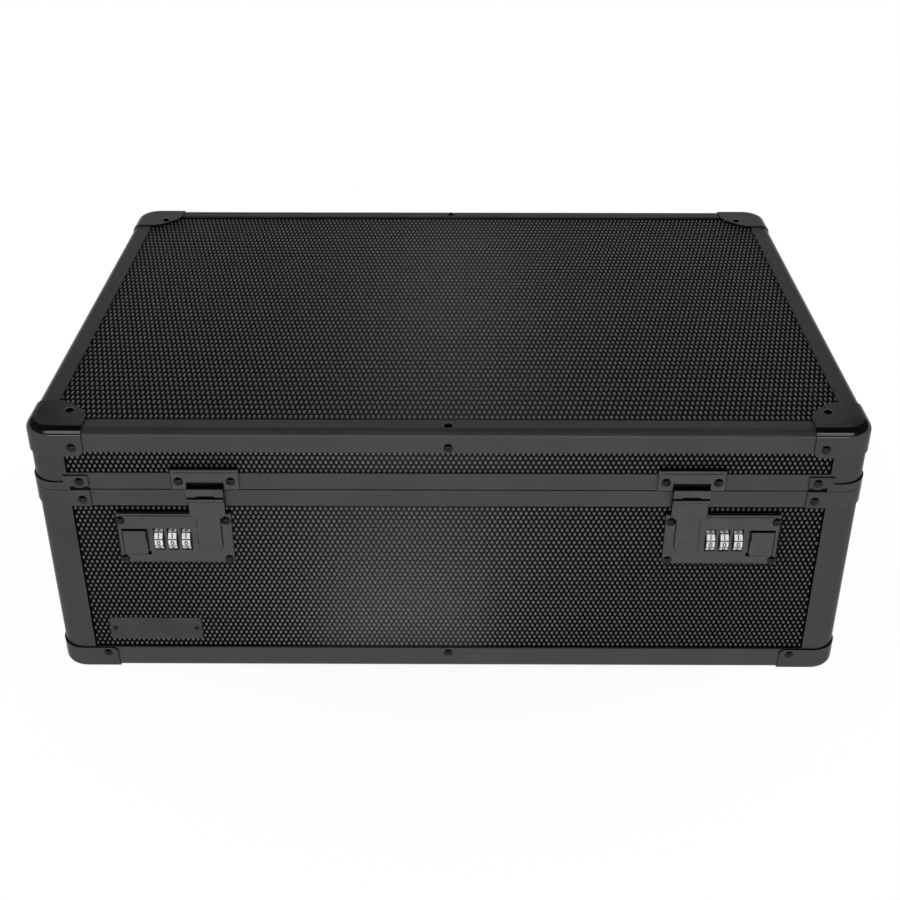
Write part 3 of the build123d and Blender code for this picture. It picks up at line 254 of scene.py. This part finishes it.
class Finish:
    """A procedural finish in the making: one Principled shader and the textures that feed it."""

    def __init__(self, name, **constants):
        self.material = bpy.data.materials.new(name)
        self.material.use_nodes = True
        self.tree = self.material.node_tree
        self.shader = self.tree.nodes["Principled BSDF"]
        self.place = self.tree.nodes.new("ShaderNodeTexCoord").outputs["Object"]
        for socket, value in constants.items():
            self.shader.inputs[socket.replace("_", " ")].default_value = value

    def add(self, kind, inputs=None, **settings):
        """A shader node with its settings, and its sockets fed by name."""
        node = self.tree.nodes.new("ShaderNode" + kind)
        for key, value in settings.items():
            setattr(node, key, value)
        for key, value in (inputs or {}).items():
            self.feed(node.inputs[key], value)
        return node

    def feed(self, socket, value):
        """Links a texture to a socket, or sets it to a plain value."""
        if isinstance(value, bpy.types.NodeSocket):
            self.tree.links.new(value, socket)
        else:
            socket.default_value = value

    def math(self, operation, *values):
        """A calculation with textures and numbers."""
        node = self.add("Math", operation=operation)
        for socket, value in zip(node.inputs, values):
            self.feed(socket, value)
        return node.outputs[0]

    def away(self, value, middle):
        """How far a value is from a middle, whichever way."""
        return self.math("ABSOLUTE", self.math("SUBTRACT", value, middle))

    def grain(self, scale, detail=3, stretch=(1, 1, 1), roughness=0.5):
        """Noise with that many waves to the metre, drawn out along an axis by a small stretch."""
        mapping = self.add("Mapping", {"Vector": self.place, "Scale": stretch})
        noise = self.add("TexNoise", {"Vector": mapping.outputs[0], "Scale": scale, "Detail": detail,
                                      "Roughness": roughness})
        return noise.outputs["Fac"]

    def spread(self, value, low, high, start=0.3, end=0.7):
        """Spreads a texture that goes from start to end between two values."""
        node = self.add("MapRange", {"Value": value, "From Min": start, "From Max": end,
                                     "To Min": low, "To Max": high})
        return node.outputs[0]

    def tones(self, value, dark, light, start=0.3, end=0.7):
        """Blends two colours by a texture."""
        return self.blend(self.spread(value, 0.0, 1.0, start, end), (*dark, 1), (*light, 1), "RGBA")

    def blend(self, factor, low, high, kind="FLOAT"):
        """Either value, texture or colour, by a mask."""
        node = self.add("Mix", {"Factor": factor}, data_type=kind)
        self.feed(node.inputs["A"], low)
        self.feed(node.inputs["B"], high)
        return node.outputs["Result"]

    def relief(self, height, depth, strength=1.0):
        """Fine bumps, so many millimetres deep."""
        bump = self.add("Bump", {"Height": height, "Distance": depth * MM, "Strength": strength})
        self.feed(self.shader.inputs["Normal"], bump.outputs[0])

    def colour(self, value):
        """The shader's base colour."""
        self.feed(self.shader.inputs["Base Color"], value)

    def polish(self, value, more=None):
        """The shader's roughness, with a second texture on top where one is given."""
        rough = value if more is None else self.math("ADD", value, more)
        self.feed(self.shader.inputs["Roughness"], rough)


def sheet_ground():
    """The flat ground of the embossed plastic sheet, between its bumps, coloured near-black as painted shade
    between the bumps.
    """
    finish = Finish("sheet_ground", Specular_IOR_Level=0.02)
    # painted shade: this near-black colour stands in for the shade that falls between the bumps
    finish.colour(finish.tones(finish.grain(900), (0.0008, 0.0008, 0.0009), (0.002, 0.002, 0.0021)))
    finish.polish(finish.spread(finish.grain(2600, 2), 0.44, 0.54))
    finish.relief(finish.grain(5200, 2), 0.01, 0.4)
    return finish.material


def sheet_bumps():
    """The bumps of the sheet: glossy black plastic, handled smooth on top; their grey colour is painted light
    caught on the bump tops.
    """
    finish = Finish("sheet_bumps", Specular_IOR_Level=0.75)
    # painted light: this grey, far lighter than the ground of the same plastic, stands in for light caught on
    # the bump tops
    finish.colour(finish.tones(finish.grain(330), (0.058, 0.058, 0.059), (0.086, 0.086, 0.088)))
    finish.polish(finish.spread(finish.grain(700, 2), 0.26, 0.40))
    finish.relief(finish.grain(4200, 2), 0.01, 0.4)
    return finish.material


def anodise(finish, lines, dark, light):
    """Black anodised aluminium: a little cloudy, with fine draw lines."""
    cloud = finish.grain(22, 4)
    finish.colour(finish.tones(cloud, dark, light, 0.25, 0.75))
    finish.polish(finish.spread(lines, 0.26, 0.34), finish.spread(cloud, 0.0, 0.07))
    finish.relief(lines, 0.02, 0.35)
    return finish.material


def drawn_metal():
    """The rails, with draw lines along each one."""
    finish = Finish("drawn_metal", Metallic=0.6, Specular_Tint=DIM_EDGES)
    to_side = finish.math("ABSOLUTE", finish.add("SeparateXYZ", {0: finish.place}).outputs["X"])
    at_side = finish.math("GREATER_THAN", to_side, SIDE_RAILS_FROM * MM)
    lines = finish.blend(at_side, finish.grain(1500, 2, ALONG_X), finish.grain(1500, 2, ALONG_Y))
    return anodise(finish, lines, (0.055, 0.056, 0.058), (0.068, 0.068, 0.069))


def post_metal():
    """The corner posts, whose draw lines stand upright."""
    finish = Finish("post_metal", Metallic=1.0, Specular_Tint=DIM_EDGES)
    lines = finish.grain(1500, 2, ALONG_Z)
    return anodise(finish, lines, (0.056, 0.057, 0.058), (0.068, 0.068, 0.069))


def pressed_cap():
    """Pressed and polished black metal, a little uneven from the press."""
    finish = Finish("pressed_cap", Metallic=1.0, Specular_Tint=DIM_EDGES)
    cloud = finish.grain(60, 3)
    finish.colour(finish.tones(cloud, (0.057, 0.058, 0.060), (0.067, 0.067, 0.069)))
    finish.polish(finish.spread(cloud, 0.10, 0.16), finish.spread(finish.grain(1900, 2), 0, 0.04))
    finish.relief(finish.grain(95, 2), 0.10, 0.5)
    return finish.material


def latch_metal():
    """The stamped and painted metal of latches, plates and hinges."""
    finish = Finish("latch_metal", Metallic=1.0, Specular_Tint=DIM_EDGES)
    cloud = finish.grain(80, 3)
    finish.colour(finish.tones(cloud, (0.072, 0.072, 0.074), (0.086, 0.086, 0.087)))
    finish.polish(finish.spread(cloud, 0.17, 0.24), finish.spread(finish.grain(1700, 2), 0, 0.06))
    finish.relief(finish.grain(700, 3), 0.012, 0.4)
    return finish.material


def rivet_paint():
    """Gloss black paint on the rivet heads."""
    finish = Finish("rivet_paint", Metallic=1.0)
    cloud = finish.grain(240, 2)
    finish.colour(finish.tones(cloud, (0.016, 0.016, 0.017), (0.028, 0.028, 0.029)))
    finish.polish(finish.spread(cloud, 0.10, 0.18))
    finish.relief(finish.grain(900, 2), 0.01, 0.4)
    return finish.material


def badge_metal():
    """The blank plate: satin metal with a fine brush along it."""
    finish = Finish("badge_metal", Metallic=1.0)
    lines = finish.grain(2000, 2, (0.02, 1, 1))
    finish.colour(finish.tones(finish.grain(60, 3), (0.052, 0.052, 0.054), (0.066, 0.066, 0.067)))
    finish.polish(finish.spread(lines, 0.24, 0.36))
    finish.relief(lines, 0.02, 0.4)
    return finish.material


def plain_steel():
    """Bare turned steel of pins, spindles and bars."""
    finish = Finish("plain_steel", Metallic=1.0)
    lines = finish.grain(2400, 2, (1, 0.1, 0.1))
    finish.colour(finish.tones(finish.grain(150, 3), (0.26, 0.26, 0.27), (0.36, 0.36, 0.37)))
    finish.polish(finish.spread(lines, 0.26, 0.40))
    finish.relief(lines, 0.015, 0.5)
    return finish.material


def lining_felt():
    """Black felt, a little dusty, with short loose fibres."""
    finish = Finish("lining_felt", Roughness=0.95, Specular_IOR_Level=0.2, Sheen_Weight=0.2,
                    Sheen_Roughness=0.6)
    fibres = finish.grain(1400, 5, (1, 1, 1), 0.7)
    finish.colour(finish.tones(fibres, (0.012, 0.012, 0.013), (0.040, 0.040, 0.042)))
    finish.relief(fibres, 0.35, 0.7)
    return finish.material


def dial_plastic():
    """The number dials: white tiles, with black between them and on the dials' flanks."""
    finish = Finish("dial_plastic", Specular_IOR_Level=0.5)
    on_axis = (0, -DIAL_Y * MM, -DIAL_Z * MM)
    centred = finish.add("Mapping", {"Vector": finish.place, "Location": on_axis})
    across, depth, height = finish.add("SeparateXYZ", {0: centred.outputs[0]}).outputs

    turned = finish.math("ARCTAN2", height, finish.math("MULTIPLY", depth, -1.0))
    turned = finish.math("MULTIPLY", turned, DIGITS / math.tau)
    in_tile = finish.math("FRACT", finish.math("ADD", turned, DIGITS + 0.5))
    gap = finish.spread(finish.away(in_tile, 0.5), 0.0, 1.0, TILE_END, GAP_START)

    from_middle = finish.away(finish.math("ABSOLUTE", across), DIAL_MIDDLE * MM)
    from_dial = finish.math("PINGPONG", from_middle, DIAL_STEP / 2 * MM)
    flank = finish.spread(from_dial, 0.0, 1.0, TILE_SIDE * MM, FLANK_START * MM)

    soil = finish.tones(finish.grain(1500, 3), (0.86, 0.86, 0.85), (0.96, 0.96, 0.95))
    black = (0.006, 0.006, 0.006, 1)
    finish.colour(finish.blend(finish.math("MAXIMUM", gap, flank), soil, black, "RGBA"))
    finish.polish(finish.spread(finish.grain(800, 2), 0.22, 0.34))
    finish.relief(finish.grain(3000, 2), 0.01, 0.3)
    return finish.material


def digit_ink():
    """The black ink of the numbers, slightly worn."""
    finish = Finish("digit_ink", Specular_IOR_Level=0.4)
    finish.colour(finish.tones(finish.grain(2500, 3), (0.006, 0.006, 0.006), (0.020, 0.020, 0.020)))
    finish.polish(finish.spread(finish.grain(1500, 2), 0.35, 0.5))
    return finish.material


def dress_nodes():
    """Gives each part of the frame its finish."""
    finishes = {
        "panel": sheet_ground(), "frame": drawn_metal(), "post": post_metal(), "cap": pressed_cap(),
        "lining": lining_felt(), "badge": badge_metal(), "rivet": rivet_paint(), "dial": dial_plastic(),
        "steel": plain_steel(), "latch": latch_metal(),
    }
    slots = {part["node"]: part["material_slot"] for part in frame["record"]["subparts"]}
    for name, part in nodes.items():
        finish = finishes["post" if "corner_posts" in name else slots[name]]
        for slot in part.material_slots:
            slot.material = finish


# pieces


def piece(name, bm, finish, body, smooth=True):
    """Makes a finished mesh a piece that moves with a body."""
    mesh = bpy.data.meshes.new(name)
    bm.to_mesh(mesh)
    bm.free()
    mesh.polygons.foreach_set("use_smooth", [smooth] * len(mesh.polygons))
    mesh.materials.append(finish)
    made = bpy.data.objects.new(name, mesh)
    bpy.context.scene.collection.objects.link(made)
    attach(made, body)
    return made


# the pattern of the embossed sheet: pitch along a row, step between rows, and half a bump each way
WALL_PATTERN = (3.05, 2.95, 0.88, 1.36)
TOP_PATTERN = (2.98, 5.7, 0.88, 2.4)
BUMP_RISE, BUMP_SINK = 0.5, 0.06
BUMP_SIDES, BUMP_RINGS = 8, 4
# where the sheet shows between the rails and posts, from the middle or from the floor
FRONT_REACH, SIDE_REACH = 219.5, 150.6
TOP_REACH_X, TOP_REACH_Y = 228.3, 159.4
SHEET_HEIGHTS = {"base": (15.6, 121.0), "lid": (143.1, 157.3)}
# the top of a lock plate without its ears, and how far under a plate's edge a bump's middle may lie
LOCK_PLATE_TOP = 117.2
UNDER_PLATE = 0.4


def facing(across, up, origin):
    """Places a flat pattern: its X runs across, its Y runs up, and its Z comes out of the face."""
    across, up = Vector(across), Vector(up)
    out = across.cross(up)
    turned = Matrix((across, up, out)).transposed().to_4x4()
    return Matrix.Translation(Vector(origin) * MM) @ turned


def everything(bm):
    """All that a mesh holds, for the operators that ask for it."""
    return bm.verts[:] + bm.edges[:] + bm.faces[:]


def first_bumps(pattern, corner):
    """Two bumps of neighbouring rows at a corner: low domes whose flat underside is in the board."""
    pitch, row, half_width, half_height = pattern
    bm = bmesh.new()
    bmesh.ops.create_uvsphere(bm, u_segments=BUMP_SIDES, v_segments=BUMP_RINGS, radius=1)
    below = [vert for vert in bm.verts if vert.co.z < -0.1]
    bmesh.ops.delete(bm, geom=below, context="VERTS")
    rim = [edge for edge in bm.edges if edge.is_boundary]
    bmesh.ops.contextual_create(bm, geom=rim)
    bmesh.ops.scale(bm, verts=bm.verts, vec=(half_width, half_height, BUMP_RISE + BUMP_SINK))
    bmesh.ops.translate(bm, verts=bm.verts, vec=(*corner, -BUMP_SINK))
    twin = bmesh.ops.duplicate(bm, geom=everything(bm))["geom"]
    twin = [part for part in twin if isinstance(part, bmesh.types.BMVert)]
    bmesh.ops.translate(bm, verts=twin, vec=(pitch / 2, row, 0))
    return bm


def bump_middle(point, pattern):
    """The middle of the bump that a point belongs to."""
    pitch, row, half_width, half_height = pattern
    choices = []
    for shift in (0, 0.5):
        u = (round(point.x / pitch - shift) + shift) * pitch
        v = (round(point.y / (2 * row) - shift) + shift) * 2 * row
        choices.append((((point.x - u) / half_width) ** 2 + ((point.y - v) / half_height) ** 2, u, v))
    return min(choices)[1:]


def bump_field(name, body, placed, patch, pattern, finish, bare=()):
    """Bumps in offset rows on a patch (x0, x1, y0, y1) that leaves the bare rectangles out."""
    x0, x1, y0, y1 = patch
    pitch, row = pattern[:2]
    corner = (math.floor(x0 / pitch) * pitch, math.floor(y0 / (2 * row)) * 2 * row)
    columns = math.ceil((x1 - corner[0]) / pitch)
    pairs = math.ceil((y1 - corner[1]) / (2 * row))
    bm = first_bumps(pattern, corner)
    for step, count in (((pitch, 0, 0), columns), ((0, 2 * row, 0), pairs)):
        bmesh.ops.spin(bm, geom=everything(bm), angle=0, steps=count, dvec=step, axis=(0, 0, 1),
                       cent=(0, 0, 0), use_duplicate=True)
    unwanted = []
    for vert in bm.verts:
        u, v = bump_middle(vert.co, pattern)
        inside = x0 <= u < x1 and y0 <= v <= y1
        if not inside or any(left < u < right and low < v < high for left, right, low, high in bare):
            unwanted.append(vert)
    bmesh.ops.delete(bm, geom=unwanted, context="VERTS")
    bmesh.ops.transform(bm, matrix=placed @ Matrix.Scale(MM, 4), verts=bm.verts)
    return piece(name, bm, finish, body)


def covered(node, middle, top=math.inf):
    """The rectangle of the front that a plate covers, with heights from the sheet's middle."""
    low, high = (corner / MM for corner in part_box(node))
    return (low.x + UNDER_PLATE, high.x - UNDER_PLATE,
            low.z + UNDER_PLATE - middle, min(high.z, top) - UNDER_PLATE - middle)


def cover_walls(finish):
    """The bumps on the four walls of base and lid. Gives back the two fields on the front."""
    x, y, z = Vector((1, 0, 0)), Vector((0, 1, 0)), Vector((0, 0, 1))
    walls = {
        "front": (x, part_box("base_front_panel")[0].y * y, FRONT_REACH),
        "back": (-x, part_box("base_back_panel")[1].y * y, FRONT_REACH),
        "left": (-y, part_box("base_left_panel")[0].x * x, SIDE_REACH),
        "right": (y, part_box("base_right_panel")[1].x * x, SIDE_REACH),
    }
    middles = {body: (low + high) / 2 for body, (low, high) in SHEET_HEIGHTS.items()}
    plates = {
        "base": [covered("badge_plate", middles["base"]),
                 covered("left_lock_plate", middles["base"], LOCK_PLATE_TOP),
                 covered("right_lock_plate", middles["base"], LOCK_PLATE_TOP)],
        "lid": [covered("left_keeper", middles["lid"]), covered("right_keeper", middles["lid"])],
    }
    fields = {}
    for wall, (across, face, reach) in walls.items():
        for body, (low, high) in SHEET_HEIGHTS.items():
            placed = facing(across, z, face / MM + middles[body] * z)
            patch = (-reach, reach, -(high - low) / 2, (high - low) / 2)
            bare = plates[body] if wall == "front" else ()
            fields[body, wall] = bump_field(f"{body}_{wall}_bumps", body, placed, patch, WALL_PATTERN,
                                            finish, bare)
    return [fields["base", "front"], fields["lid", "front"]]


def cover_top(finish):
    """The bumps on the lid's top, in two halves."""
    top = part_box("lid_top_panel")[1].z / MM
    placed = facing((1, 0, 0), (0, 1, 0), (0, 0, top))
    for half, span in {"left": (-TOP_REACH_X, 0), "right": (0, TOP_REACH_X)}.items():
        bump_field(f"lid_top_{half}_bumps", "lid", placed, (*span, -TOP_REACH_Y, TOP_REACH_Y),
                   TOP_PATTERN, finish)


DIGIT_SIZE = 4.3
DIGIT_BOLDER = 0.1
DIGIT_CURVE = 3
INK_THICK, INK_PROUD = 0.03, 0.01
STRIPS_EACH_WAY, STRIP = 6, 0.28


def number_strip(digit):
    """One flat number, cut into narrow strips so that it can be bent round the dial."""
    text = bpy.data.curves.new("number", "FONT")
    text.body = str(digit)
    text.size = DIGIT_SIZE
    text.align_x, text.align_y = "CENTER", "CENTER"
    text.extrude = INK_THICK
    text.offset = DIGIT_BOLDER
    text.resolution_u = DIGIT_CURVE
    carrier = bpy.data.objects.new("number", text)
    mesh = bpy.data.meshes.new_from_object(carrier)
    bm = bmesh.new()
    bm.from_mesh(mesh)
    bpy.data.objects.remove(carrier)
    bpy.data.meshes.remove(mesh)
    across = [vert.co.x for vert in bm.verts]
    up = [vert.co.y for vert in bm.verts]
    off_middle = ((min(across) + max(across)) / 2, (min(up) + max(up)) / 2, 0)
    bmesh.ops.translate(bm, verts=bm.verts, vec=-Vector(off_middle))
    for step in range(-STRIPS_EACH_WAY, STRIPS_EACH_WAY + 1):
        bmesh.ops.bisect_plane(bm, geom=everything(bm), dist=1e-5, plane_co=(0, step * STRIP, 0),
                               plane_no=(0, 1, 0))
    return bm


def number_ring(middle):
    """Ten numbers round a dial, the nought in the window."""
    ring = bmesh.new()
    for digit in range(DIGITS):
        strip = number_strip(digit)
        for vert in strip.verts:
            angle = vert.co.y / DIAL_RADIUS + digit * math.tau / DIGITS
            radius = DIAL_RADIUS + vert.co.z + INK_PROUD
            vert.co = (middle + vert.co.x, DIAL_Y - radius * math.cos(angle),
                       DIAL_Z + radius * math.sin(angle))
        bent = bpy.data.meshes.new("bent")
        strip.to_mesh(bent)
        strip.free()
        ring.from_mesh(bent)
        bpy.data.meshes.remove(bent)
    bmesh.ops.scale(ring, verts=ring.verts, vec=(MM, MM, MM))
    return ring


def number_the_dials():
    """The numbers on the three dials of both locks."""
    ink = digit_ink()
    for side, sign in {"left": -1, "right": 1}.items():
        for order in (1, 2, 3):
            ring = number_ring(sign * (DIAL_MIDDLE + (order - 2) * DIAL_STEP))
            piece(f"{side}_dial_{order}_numbers", ring, ink, f"{side}_number_dial_{order}", False)


set_camera()
bpy.context.scene.view_settings.view_transform = "Standard"
set_world()
lay_floor()
hang_softboxes()

dress_nodes()
bumps_finish = sheet_bumps()
front_bumps = cover_walls(bumps_finish)
cover_top(bumps_finish)
number_the_dials()
light_the_sheen(front_bumps)
light_the_caps()
